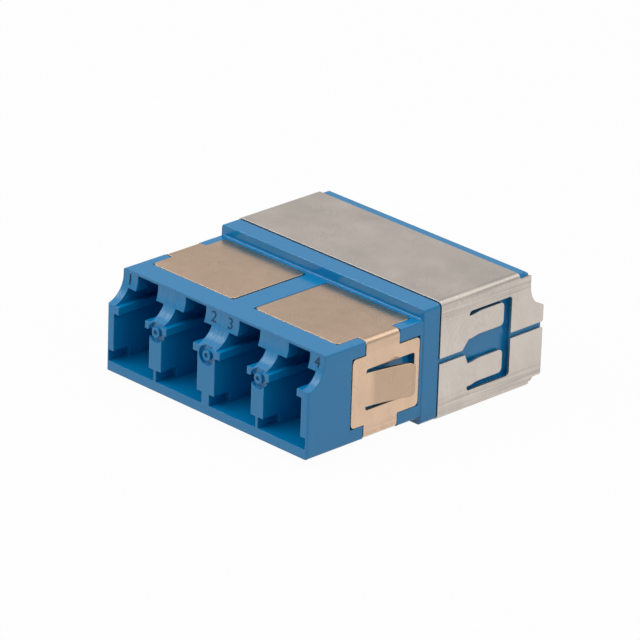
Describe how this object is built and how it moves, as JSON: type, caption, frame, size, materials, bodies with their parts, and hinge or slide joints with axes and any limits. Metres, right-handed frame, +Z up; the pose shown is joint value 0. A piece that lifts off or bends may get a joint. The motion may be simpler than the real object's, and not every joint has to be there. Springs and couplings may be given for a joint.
{
  "type": "fibre optic coupler",
  "caption": "Panel-mount fibre optic coupler with side-by-side plug ports in both ends, sprung side clips, a flange and a sheet-metal rear shell.",
  "frame": {"origin": "centre of the resting plane, halfway between the front and rear port faces", "axes": "+X across the row of ports, +Y from the front ports to the rear ports, +Z up, towards the latch slots"},
  "size_m": [0.0282, 0.0294, 0.0114],
  "materials": {
    "housing": "moulded, gloss",
    "clip": "satin phosphor bronze",
    "shell": "satin stainless steel",
    "sleeve": "white zirconia ceramic"
  },
  "bodies": {
    "root": {"front_housing": "housing", "rear_housing": "housing", "left_clip": "clip", "right_clip": "clip", "upper_shell": "shell", "lower_shell": "shell", "alignment_sleeve_1": "sleeve", "alignment_sleeve_2": "sleeve", "alignment_sleeve_3": "sleeve", "alignment_sleeve_4": "sleeve"}
  },
  "joints": []
}
